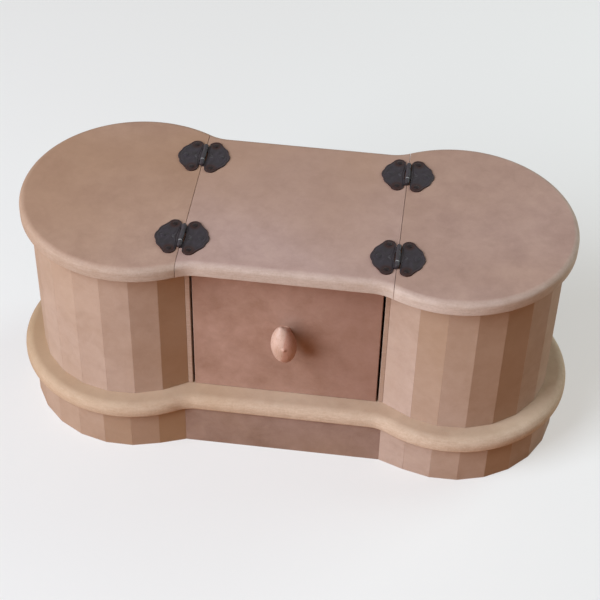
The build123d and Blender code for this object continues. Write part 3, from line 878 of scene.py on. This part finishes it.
def turned_beech():
    """Pale beech with fine flecks along the grain, which runs up the egg.

    The right side, towards +X, is painted redder and darker, most of all low down: painted shade.
    """
    material, tree = new_material("turned_beech")
    xyz = add_node(tree, "TexCoord", output=3)
    squeeze = (1 / FLECK_WIDTH, 1 / FLECK_WIDTH, 1 / FLECK_LENGTH)
    grain = add_node(tree, "Mapping", {"Vector": xyz, "Scale": squeeze})
    flecks = add_node(tree, "TexNoise", {"Vector": grain, "Scale": 1.0, "Detail": 2.0, "Roughness": 0.6})
    bands = add_node(tree, "TexNoise", {"Vector": xyz, "Scale": 1 / BAND_SIZE, "Detail": 2.0})
    wood = two_tones(tree, bands, 0.15, ("#C7A18C", "#DAB7A4"))
    fleck = add_node(tree, "MapRange", {"Value": flecks, "From Min": 0.54, "From Max": 0.7, "To Max": 0.55})
    wood = add_node(tree, "Mix", {FACTOR: fleck, FIRST: wood, SECOND: "#A87C62"}, MIXED, data_type="RGBA")

    # Painted shade: redder and darker towards +X and low down, on the egg's side away from the light
    across = add_node(tree, "SeparateXYZ", {"Vector": xyz})
    up = add_node(tree, "SeparateXYZ", {"Vector": xyz}, 2)
    below = add_node(tree, "Math", {0: knob_centre.z, 1: up}, operation="SUBTRACT")
    shade_side = pattern_sum(tree, (across, 1 / MM), (below, 0.12 / MM), (bands, 2.4))
    painted_shade_share = add_node(tree, "MapRange", {"Value": shade_side, "From Min": 0.7, "From Max": 2.4, "To Max": 0.5})
    wood = add_node(tree, "Mix", {FACTOR: painted_shade_share, FIRST: wood, SECOND: "#B06A52"}, MIXED, data_type="RGBA")

    sheen = add_node(
        tree, "MapRange", {"Value": flecks, "From Min": 0.3, "From Max": 0.7, "To Min": 0.45, "To Max": 0.6}
    )
    bump = add_node(tree, "Bump", {"Strength": 0.2, "Distance": FLECK_DEPTH, "Height": flecks})
    shader = add_node(tree, "BsdfPrincipled", {"Base Color": wood, "Roughness": sheen, "IOR": 1.45, "Normal": bump})
    add_node(tree, "OutputMaterial", {"Surface": shader})
    return material


make_piece("knob_turned", knob_parts(), "drawer", ["knob"], turned_beech(), smooth_degrees=50.0)

# %% [markdown]
# ## Butterfly hinges
#
# Each hinge is stamped from thin sheet: two leaves with a wide round wing and two small lobes, and
# an edge rolled round a pin. A leaf is a polar grid about a point inside it. How far its outline
# reaches in a direction is found from its rounds: a hull drawn round them reaches, in a direction,
# the least of its support distance over the cosine between the direction and the support's normal,
# and where a round stands out past the hull, its own far side counts. Rows of the grid then lie at
# set distances inside the outline, so the pressed rim and groove follow it all the way round.
# Two marks are kept for the finish: worn, where it is rubbed to brown, and a painted glint, where a light grey is
# painted on as a highlight.

# %% Outline of a leaf
# The leaf's rounds: two lobes, two full flanks and the wing's tip, each as x, y and radius
ROUNDS = np.array([(6.2, 11.6, 4.2), (6.2, -11.6, 4.2), (8.2, 4.2, 7.3), (8.2, -4.2, 7.3), (9.6, 0.0, 7.4)]) * MM
LEAF_DIP = 0.2 * MM
LEAF_ROOT_X, LEAF_CORE_X = 1.95 * MM, 7.0 * MM
HULL_DIRECTIONS, LEAST_SLANT = 1440, 0.05


def leaf_reach(direction):
    """The outline's distance from the leaf's core in each direction, cut off straight at the root.

    The hull is drawn a dip inside the rounds, so that the sheet waists a little between them.
    """
    centre = ROUNDS[:, :2] - [LEAF_CORE_X, 0.0]
    radius = ROUNDS[:, 2]
    normal = np.linspace(0.0, 2 * math.pi, HULL_DIRECTIONS, endpoint=False)
    normals = np.stack([np.cos(normal), np.sin(normal)], axis=-1)
    support = (centre @ normals.T + (radius - LEAF_DIP)[:, None]).max(axis=0)
    slant = np.cos(direction[:, None] - normal[None, :])
    hull = np.where(slant > LEAST_SLANT, support / np.maximum(slant, LEAST_SLANT), np.inf).min(axis=1)
    ray = np.stack([np.cos(direction), np.sin(direction)], axis=-1)
    ahead = ray @ centre.T
    inside = ahead ** 2 - np.sum(centre ** 2, axis=-1) + radius ** 2
    far_side = np.where((inside > 0) & (ahead > -radius), ahead + np.sqrt(np.maximum(inside, 0.0)), 0.0)
    reach = np.maximum(hull, far_side.max(axis=1))
    inner = np.where(ray[:, 0] < -1e-6, (LEAF_CORE_X - LEAF_ROOT_X) / np.maximum(-ray[:, 0], 1e-6), np.inf)
    return np.minimum(reach, inner)


leaf_tip = LEAF_CORE_X + leaf_reach(np.zeros(1))[0]
print("A leaf's tip lies", round(float(leaf_tip) / MM, 1), "mm from the seam")

# %% Wear of the lacquer
LOBE_X, LOBE_Y = 6.2 * MM, 11.6 * MM
LOBE_START, LOBE_FADE, RIM_WEAR, NAIL_WEAR, NAIL_FADE = 9.0 * MM, 3.0 * MM, 1.3 * MM, 4.8 * MM, 2.2 * MM


def rubbed_mark(x, y, inset):
    """How far the lacquer is rubbed to brown at a point that lies an inset within the outline.

    The rim's share is 1.4 less the inset over the rim's wear, and on the wing three tenths of that.
    Round a lobe's nail it falls in a straight line with the distance. At the root there is none.
    """
    on_lobe = np.clip((np.abs(y) - LOBE_START) / LOBE_FADE, 0.0, 1.0)
    from_nail = np.hypot(x - LOBE_X, np.abs(y) - LOBE_Y)
    worn = np.clip(1.4 - inset / RIM_WEAR, 0.0, 1.0) * (0.3 + 0.7 * on_lobe)
    worn = np.maximum(worn, 0.9 * np.clip((NAIL_WEAR - from_nail) / NAIL_FADE, 0.0, 1.0))
    return worn * np.clip((x - LEAF_ROOT_X) / MM, 0.0, 1.0)


print("Wear beside a lobe's nail:", round(float(rubbed_mark(LOBE_X, LOBE_Y, 3 * MM)), 2))

# %% The stamped wing
LEAF_DIRECTIONS, FIELD_RINGS = 288, 21
# Rows of the leaf's top: how far in from the outline, and how high
RIM_ROWS = np.array([
    (0.00, 0.10), (0.00, 0.45), (0.08, 0.66), (0.22, 0.80), (0.42, 0.86), (0.75, 0.86),
    (1.00, 0.82), (1.20, 0.70), (1.40, 0.64), (1.60, 0.68), (1.85, 0.80), (2.20, 0.88),
]) * MM
FIELD_HEIGHT, PETAL_DEPTH, PETALS = 0.86 * MM, 0.2 * MM, 8
FAN_STROKES = np.radians([150.0, 180.0, 210.0])
STROKE_HEIGHT, STROKE_WIDTH, STROKE_GLINT = 0.14 * MM, 0.28 * MM, 0.09


def wing_part():
    """The stamped wing: rim rows at set distances inside the outline, then rings shrinking to the core.

    The field inside the groove is dished, with eight low petals: its height falls by a swell over
    the rings times (1 + cos 8a) / 2 at direction a. Three short strokes are struck towards the root,
    each a ridge as high as its height times exp(-(distance / width)^2), with a faint painted glint on top.
    """
    direction = np.linspace(0.0, 2 * math.pi, LEAF_DIRECTIONS, endpoint=False)
    reach = leaf_reach(direction)[:, None]
    rim = reach - RIM_ROWS[:, 0][None, :]
    shrink = np.linspace(1.0, 0.0, FIELD_RINGS + 1)[1:]
    radius = np.concatenate([rim, rim[:, -1:] * shrink[None, :]], axis=1)
    petals = 0.5 + 0.5 * np.cos(PETALS * direction)[:, None]
    swell = np.sin(math.pi * np.clip((shrink - 0.2) / 0.7, 0.0, 1.0))[None, :]
    off_stroke = np.abs(direction[:, None] - FAN_STROKES[None, :]).min(axis=1)[:, None]
    stroke = np.exp(-((off_stroke * rim[:, -1:] * shrink[None, :]) / STROKE_WIDTH) ** 2)
    stroke = stroke * ((shrink > 0.3) & (shrink < 0.85))[None, :]
    field = FIELD_HEIGHT - PETAL_DEPTH * swell * petals + STROKE_HEIGHT * stroke
    height = np.concatenate([np.broadcast_to(RIM_ROWS[:, 1], (LEAF_DIRECTIONS, len(RIM_ROWS))), field], axis=1)
    x, y = LEAF_CORE_X + radius * np.cos(direction)[:, None], radius * np.sin(direction)[:, None]
    bare = np.concatenate([np.zeros((LEAF_DIRECTIONS, len(RIM_ROWS))), STROKE_GLINT * stroke], axis=1)
    underside = np.arange(LEAF_DIRECTIONS) * radius.shape[1]
    return surface(
        np.stack([x, y, height], axis=-1), [underside],
        closed_rows=True, worn=rubbed_mark(x, y, reach - radius), bare=bare,
    )


print("Points on a wing:", len(wing_part()[0]))

# %% Knuckles
# The knuckles keep the CAD pin's axis, and are drawn a little slimmer than their solids
AXIS_ABOVE_TOP = 1.8 * MM
KNUCKLE_RADIUS, KNUCKLE_LENGTH, CENTRE_KNUCKLE, KNUCKLE_GAP = 1.5 * MM, 20.0 * MM, 9.0 * MM, 0.2 * MM
# How far back from a knuckle's end the painted glint starts and where it is full, among the knuckle's sizes
KNUCKLE_END, GLINT_FROM, GLINT_FULL, KNUCKLE_STEPS = 0.3 * MM, 1.3 * MM, 0.8 * MM, 64
CLOSING_DEPTH, CLOSING_ANGLE, CLOSING_WIDTH = 0.1, 0.55, 0.12


def barrel_part(low_y, high_y, rubbed=False):
    """A rolled knuckle about the pin: a tube with softened ends and a shallow line where the sheet closes.

    The line is a dip in the radius, of depth times exp(-((turn - angle) / width)^2). The crest gets a
    faint painted highlight, and near one end of a marked knuckle a strong painted glint of light grey.
    """
    end = KNUCKLE_END
    glint_start, glint_full = high_y - GLINT_FROM, high_y - GLINT_FULL
    along = np.array([low_y, low_y, low_y + end, glint_start, glint_full, high_y - end, high_y, high_y])
    shrink = np.array([KNUCKLE_RADIUS, end, 0.0, 0.0, 0.0, 0.0, end, KNUCKLE_RADIUS])
    turn = np.linspace(0.0, 2 * math.pi, KNUCKLE_STEPS, endpoint=False)[:, None]
    closing = CLOSING_DEPTH * np.exp(-((turn - CLOSING_ANGLE) / CLOSING_WIDTH) ** 2)
    reach = (KNUCKLE_RADIUS - shrink)[None, :] * (1.0 - closing)
    grid = np.stack([
        reach * np.cos(turn), np.broadcast_to(along, reach.shape), AXIS_ABOVE_TOP + reach * np.sin(turn)
    ], axis=-1)
    worn = np.array([0.0, 0.6, 0.1, 0.0, 0.0, 0.1, 0.4, 0.0])
    # Painted highlight: a faint light grey along the crest, and a strong painted glint near one end
    crest = np.clip(np.sin(turn) * 1.6 - 0.6, 0.0, 1.0)
    glint_spot = np.array([0.0, 0.0, 0.0, 0.0, 1.0, 1.0, 1.0, 0.0]) if rubbed else np.zeros(8)
    bare = crest * (0.04 + 0.8 * glint_spot[None, :])
    return surface(grid, closed_rows=True, worn=worn[None, :], bare=bare)


print("Points on a knuckle:", len(barrel_part(0.0, CENTRE_KNUCKLE)[0]))

# %% Straps and pins
STRAP_LOW, STRAP_HIGH, STRAP_LAP, STRAP_MARGIN = 0.05 * MM, 0.85 * MM, 0.6 * MM, 0.1 * MM
PIN_RADIUS, PIN_HEAD, PIN_RISE = 0.8 * MM, 1.3 * MM, 0.6 * MM


def strap_part(low_y, high_y):
    """The flat run of sheet between a knuckle and the wing: one rectangle at each end."""
    far = LEAF_ROOT_X + STRAP_LAP
    section = [(0.0, STRAP_LOW), (far, STRAP_LOW), (far, STRAP_HIGH), (0.0, STRAP_HIGH)]
    levels = [[(x, y, z) for x, z in section] for y in (low_y, high_y)]
    return surface(np.array(levels), [(0, 1, 2, 3), (4, 5, 6, 7)], closed_columns=True, worn=0.1)


def pin_parts():
    """The pin's two domed heads, just outside the knuckles, on one shaft.

    A head is a quarter of an ellipse turned about the axis: radius times cos t, rise times sin t.
    """
    turn = np.linspace(0.0, math.pi / 2, 7)
    half = KNUCKLE_LENGTH / 2
    radius = np.concatenate([PIN_HEAD * np.sin(turn), [PIN_RADIUS, PIN_RADIUS], PIN_HEAD * np.cos(turn)])
    along = np.concatenate([-half - PIN_RISE * np.cos(turn), [-half, half], half + PIN_RISE * np.sin(turn)])
    grid = laid_over(lathe(radius, along, steps=32))
    return [surface(grid + np.array([0.0, 0.0, AXIS_ABOVE_TOP]), closed_rows=True, worn=0.2)]


print("A pin is", round((KNUCKLE_LENGTH + 2 * PIN_RISE) / MM, 1), "mm long over its heads")

# %% Whole leaves
def leaf_parts(moving):
    """A wing, with one knuckle in the middle for a moving leaf or two outer ones for a fixed leaf."""
    half, centre = KNUCKLE_LENGTH / 2, CENTRE_KNUCKLE / 2
    bands = [(-centre, centre)] if moving else [(-half, -centre - KNUCKLE_GAP), (centre + KNUCKLE_GAP, half)]
    parts = [wing_part()]
    for low_y, high_y in bands:
        # The fixed leaf's front knuckle carries the painted glint at its inner end
        rubbed = not moving and low_y < 0
        parts += [barrel_part(low_y, high_y, rubbed), strap_part(low_y + STRAP_MARGIN, high_y - STRAP_MARGIN)]
    return parts


def placed(parts, x, y, direction):
    """Moves parts made about a hinge's own axis to their place on the top, facing either way."""
    move = np.array([x, y, top_height])
    return [(points * [direction, 1.0, 1.0] + move, faces, marks) for points, faces, marks in parts]


print("Parts of a fixed and of a moving leaf:", len(leaf_parts(False)), len(leaf_parts(True)))

# %% [markdown]
# ## Blackened lacquer
#
# The hinges are steel with a dark antique finish: a near-black lacquer, matt to satin, that has
# rubbed through to brown on the rims and lobes. A light grey is painted on the knuckles' crests, near
# one end of the knuckles and on the struck strokes: painted glints.
# Lacquer is not a mirror, so the shader stays non-metallic and dark. A middling roughness spreads
# the window's light over the knuckle, and a low specular level keeps the leaves dark from all sides.

# %% Blackened lacquer
LACQUER_CLOUD, GRIT_SIZE, GRIT_HEIGHT = 4 * MM, 0.5 * MM, 0.05 * MM


def blackened_lacquer(name, deep, thin, rubbed):
    """Near-black lacquer in two tones, worn to brown where marks and some noise say so, with a painted glint of light
    grey where its mark says.
    """
    material, tree = new_material(name)
    xyz = add_node(tree, "TexCoord", output=3)
    cloudy = add_node(tree, "TexNoise", {"Vector": xyz, "Scale": 1 / LACQUER_CLOUD, "Detail": 3.0, "Roughness": 0.6})
    grit = add_node(tree, "TexNoise", {"Vector": xyz, "Scale": 1 / GRIT_SIZE, "Detail": 2.0})
    coat = two_tones(tree, cloudy, 0.12, (deep, thin))
    worn = add_node(tree, "Attribute", output=2, attribute_name="worn")
    patchy = add_node(
        tree, "MapRange", {"Value": cloudy, "From Min": 0.4, "From Max": 0.6, "To Min": 0.7, "To Max": 1.0}
    )
    patch = add_node(tree, "Math", {0: worn, 1: patchy}, operation="MULTIPLY")
    colour = add_node(tree, "Mix", {FACTOR: patch, FIRST: coat, SECOND: rubbed}, MIXED, data_type="RGBA")
    # Painted glint: light grey mixed in where the mark says, as highlights on the knuckles and strokes
    bare = add_node(tree, "Attribute", output=2, attribute_name="bare")
    colour = add_node(tree, "Mix", {FACTOR: bare, FIRST: colour, SECOND: "#B8B4B0"}, MIXED, data_type="RGBA")
    satin = add_node(
        tree, "MapRange", {"Value": cloudy, "From Min": 0.3, "From Max": 0.7, "To Min": 0.36, "To Max": 0.5}
    )
    bump = add_node(tree, "Bump", {"Strength": 0.25, "Distance": GRIT_HEIGHT, "Height": grit})
    shader = add_node(
        tree,
        "BsdfPrincipled",
        {"Base Color": colour, "Roughness": satin, "IOR": 1.45, "Specular IOR Level": 0.15, "Normal": bump},
    )
    add_node(tree, "OutputMaterial", {"Surface": shader})
    return material


lacquer = blackened_lacquer("blackened_lacquer", "#332D2E", "#3B3438", rubbed="#372019")
print("Finish of the leaves:", lacquer.name)

# %% The four hinges
HINGE_Y = 40.3 * MM

for side, side_name in ((-1, "left"), (1, "right")):
    for y, end_name in ((-HINGE_Y, "front"), (HINGE_Y, "rear")):
        place = f"{side_name}_{end_name}"
        seam_x = side * SEAM_X
        fixed = placed(leaf_parts(moving=False), seam_x, y, -side)
        moving = placed(leaf_parts(moving=True), seam_x, y, side)
        pin = placed(pin_parts(), seam_x, y, 1)
        for name, parts, body, node in (
            (f"leaf_fixed_{place}", fixed, "carcass", f"hinge_fixed_leaf_{place}"),
            (f"leaf_moving_{place}", moving, f"{side_name}_lid", f"hinge_moving_leaf_{place}"),
            (f"pin_{place}", pin, "carcass", f"hinge_pin_{place}"),
        ):
            make_piece(name, parts, body, [node], lacquer, smooth_degrees=45.0)

# %% [markdown]
# ## Nails
#
# Small round-headed nails hold each leaf, one in each lobe and one near the wing's tip. A nail is a
# turned profile: shank, the flat under its head and a low dome. No two are driven alike, so each
# is leaned a degree or two and sunk by a hair.

# %% A nail
NAIL_HEAD_RADIUS, NAIL_HEAD_HEIGHT = 1.75 * MM, 0.55 * MM
NAIL_SHANK_RADIUS, NAIL_SHANK_LENGTH, NAIL_POINT = 0.65 * MM, 6.8 * MM, 0.4 * MM
NAIL_LEAN = math.radians(2.5)
LEAF_THICKNESS = 0.9 * MM
NAIL_SETTLING = 0.05 * MM
# A nail's seat lies between these two heights in mm about the settled one
NAIL_PLAY = (-0.06, 0.04)


def nail_part(x, y, at_lobe):
    """A turned nail at its seat, with a quarter of an ellipse for its head's profile.

    A lean shifts each point sideways by the lean times its height.
    """
    turn = np.linspace(0.0, math.pi / 2, 8)
    radius = [0.0, NAIL_SHANK_RADIUS, NAIL_SHANK_RADIUS, *(NAIL_HEAD_RADIUS * np.cos(turn))]
    height = [-NAIL_SHANK_LENGTH - NAIL_POINT, -NAIL_SHANK_LENGTH, 0.0, *(NAIL_HEAD_HEIGHT * np.sin(turn))]
    points, faces, _ = surface(lathe(radius, height, steps=28), closed_rows=True)
    lean_x, lean_y = dice.uniform(-NAIL_LEAN, NAIL_LEAN, 2)
    points = points + np.stack([lean_x * points[:, 2], lean_y * points[:, 2], 0.0 * points[:, 2]], axis=-1)
    seat = top_height + LEAF_THICKNESS - NAIL_SETTLING + dice.uniform(*NAIL_PLAY) * MM
    return points + np.array([x, y, seat]), faces, {"worn": np.full(len(points), 1.0 if at_lobe else 0.1)}


print("A nail is", round((NAIL_HEAD_HEIGHT + NAIL_SHANK_LENGTH + NAIL_POINT) / MM, 2), "mm long")

# %% Driven nails
TIP_NAIL_X = 11.8 * MM
NAIL_SEATS = ((LOBE_X, LOBE_Y), (LOBE_X, -LOBE_Y), (TIP_NAIL_X, 0.0))


def nails_for(sides, direction_from_seam):
    """Three nails in each hinge of the given seams: in the fixed leaves for -1, in the moving ones for 1."""
    return [
        nail_part(side * SEAM_X + direction_from_seam * side * dx, y + dy, dy != 0)
        for side in sides for y in (-HINGE_Y, HINGE_Y) for dx, dy in NAIL_SEATS
    ]


# The nails have the leaves' finish, and those in the lobes, struck harder, have gone dark brown
nail_steel = blackened_lacquer("blackened_nail_steel", "#353031", "#3A3438", rubbed="#1F1412")
for name, parts, body in (
    ("nails_centre_top", nails_for((-1, 1), -1), "carcass"),
    ("nails_lid_left", nails_for((-1,), 1), "left_lid"),
    ("nails_lid_right", nails_for((1,), 1), "right_lid"),
):
    make_piece(f"driven_{name}", parts, body, [name], nail_steel, smooth_degrees=60.0)

# %% [markdown]
# ## The knob's screw
#
# One round-headed screw comes through the drawer front from inside. It is zinc-plated steel, a real
# metal, so it is metallic with the default index of refraction and a bright, slightly blue base.

# %% Screw
SPANGLE_SIZE = 0.8 * MM


def zinc_plate():
    """Zinc-plated steel: a metal with a fine spangle in its tone and gloss."""
    material, tree = new_material("zinc_plated_steel")
    xyz = add_node(tree, "TexCoord", output=3)
    spangle = add_node(tree, "TexNoise", {"Vector": xyz, "Scale": 1 / SPANGLE_SIZE, "Detail": 2.0})
    colour = add_node(tree, "Mix", {FACTOR: spangle, FIRST: "#A9ABB0", SECOND: "#C6C8CC"}, MIXED, data_type="RGBA")
    gloss = add_node(
        tree, "MapRange", {"Value": spangle, "From Min": 0.3, "From Max": 0.7, "To Min": 0.28, "To Max": 0.42}
    )
    shader = add_node(tree, "BsdfPrincipled", {"Base Color": colour, "Roughness": gloss, "Metallic": 1.0})
    add_node(tree, "OutputMaterial", {"Surface": shader})
    return material


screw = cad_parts["knob_screw"]
screw.data.materials.clear()
screw.data.materials.append(zinc_plate())
print("Finish of the screw:", screw.data.materials[0].name)

# %% [markdown]
# ## Floor, window light and surroundings
#
# The box stands on a plain pale floor. Its light is a tall window to the front left, between thirty
# and forty degrees up, which the knob's shadow on the drawer gives away. Three weak lights stand for
# what a room throws back: one overhead, a warm one before the box and a cool one behind its right
# end. They tint the shaded staves without making shadows of their own that the eye could find. The
# world shows white to the camera and to glossy rays, while it lights the box only faintly, so the
# background stays pale without bleaching the board.

# %% Floor
FLOOR_REACH, FLOOR_CLOUD, FLOOR_DROP = 4.0, 400 * MM, 0.05 * MM
SEEN_LIFT = 0.45


def pale_floor():
    """Painted board: pale to the camera, a little brighter than lit, and warm beige to the light it throws back."""
    material, tree = new_material("pale_floor")
    xyz = add_node(tree, "TexCoord", output=3)
    drift = add_node(tree, "TexNoise", {"Vector": xyz, "Scale": 1 / FLOOR_CLOUD, "Detail": 2.0})
    pale = add_node(tree, "Mix", {FACTOR: drift, FIRST: "#F1EDE9", SECOND: "#F7F4F1"}, MIXED, data_type="RGBA")
    seen = add_node(tree, "LightPath")
    colour = add_node(tree, "Mix", {FACTOR: seen, FIRST: "#A87A54", SECOND: pale}, MIXED, data_type="RGBA")
    lit = add_node(tree, "BsdfPrincipled", {"Base Color": colour, "Roughness": 0.9})
    lift = add_node(tree, "Emission", {"Color": "#F4F0EC", "Strength": 1.0})
    share = add_node(tree, "Math", {0: seen, 1: SEEN_LIFT}, operation="MULTIPLY")
    add_node(tree, "OutputMaterial", {"Surface": add_node(tree, "MixShader", {0: share, 1: lit, 2: lift})})
    return material


floor_mesh = bpy.data.meshes.new("floor")
floor_corners = [(-1, -1), (1, -1), (1, 1), (-1, 1)]
floor_mesh.from_pydata([(x * FLOOR_REACH, y * FLOOR_REACH, -FLOOR_DROP) for x, y in floor_corners], [], [(0, 1, 2, 3)])
floor_mesh.materials.append(pale_floor())
floor = bpy.data.objects.new("floor", floor_mesh)
bpy.context.scene.collection.objects.link(floor)
print("The floor is", 2 * FLOOR_REACH, "m across")

# %% Lights
KEY_AZIMUTH, KEY_ELEVATION = math.radians(49.0), math.radians(36.5)
KEY_DISTANCE, KEY_SIZE, KEY_POWER = 2.4, (1.3, 1.9), 82.0
LIGHTS_AIM = Vector((0.0, 0.0, 80 * MM))
# The weaker lights, each with its place, its width and height, its power and its colour
SOFT_LIGHTS = {
    "overhead": ((0.15, -0.8, 2.1), (1.6, 1.6), 2.5, "#FFF4EE"),
    "warm_front": ((-0.6, -2.3, 0.8), (1.6, 1.6), 5.5, "#FFA270"),
    "cool_side": ((1.1, 0.6, 0.7), (0.8, 0.8), 10.5, "#D6EEF2"),
}


def area_light(name, position, size, power, colour):
    """A rectangular soft light that stands upright and looks at the middle of the box."""
    data = bpy.data.lights.new(name, "AREA")
    data.shape = "RECTANGLE"
    data.size, data.size_y = size
    data.energy = power
    data.color = linear(colour)[:3]
    light = bpy.data.objects.new(name, data)
    bpy.context.scene.collection.objects.link(light)
    light.location = position
    light.rotation_euler = (LIGHTS_AIM - Vector(position)).to_track_quat("-Z", "Y").to_euler()


key_direction = Vector((
    -math.sin(KEY_AZIMUTH) * math.cos(KEY_ELEVATION),
    -math.cos(KEY_AZIMUTH) * math.cos(KEY_ELEVATION),
    math.sin(KEY_ELEVATION),
))
area_light("window", key_direction * KEY_DISTANCE, KEY_SIZE, KEY_POWER, "#E2F0FF")
for name, settings in SOFT_LIGHTS.items():
    area_light(name, *settings)
print("Lights:", [light.name for light in bpy.data.lights])

# %% Surroundings
AMBIENT = 0.06
world = bpy.data.worlds.new("studio")
bpy.context.scene.world = world
world.use_nodes = True
sky = world.node_tree
sky.nodes.clear()
seen = add_node(sky, "LightPath")
glossy = add_node(sky, "LightPath", output=3)
through = add_node(sky, "LightPath", output=6)
plain = add_node(sky, "Math", {0: seen, 1: glossy}, operation="MAXIMUM")
plain = add_node(sky, "Math", {0: plain, 1: through}, operation="MAXIMUM")
ambient = add_node(sky, "Background", {"Color": "#FFC890", "Strength": AMBIENT})
backdrop = add_node(sky, "Background", {"Color": "#FFFFFF", "Strength": 1.0})
add_node(sky, "OutputWorld", {"Surface": add_node(sky, "MixShader", {0: plain, 1: ambient, 2: backdrop})})
bpy.context.scene.view_settings.view_transform = "Standard"
print("The surroundings light the box at", AMBIENT, "of full white")
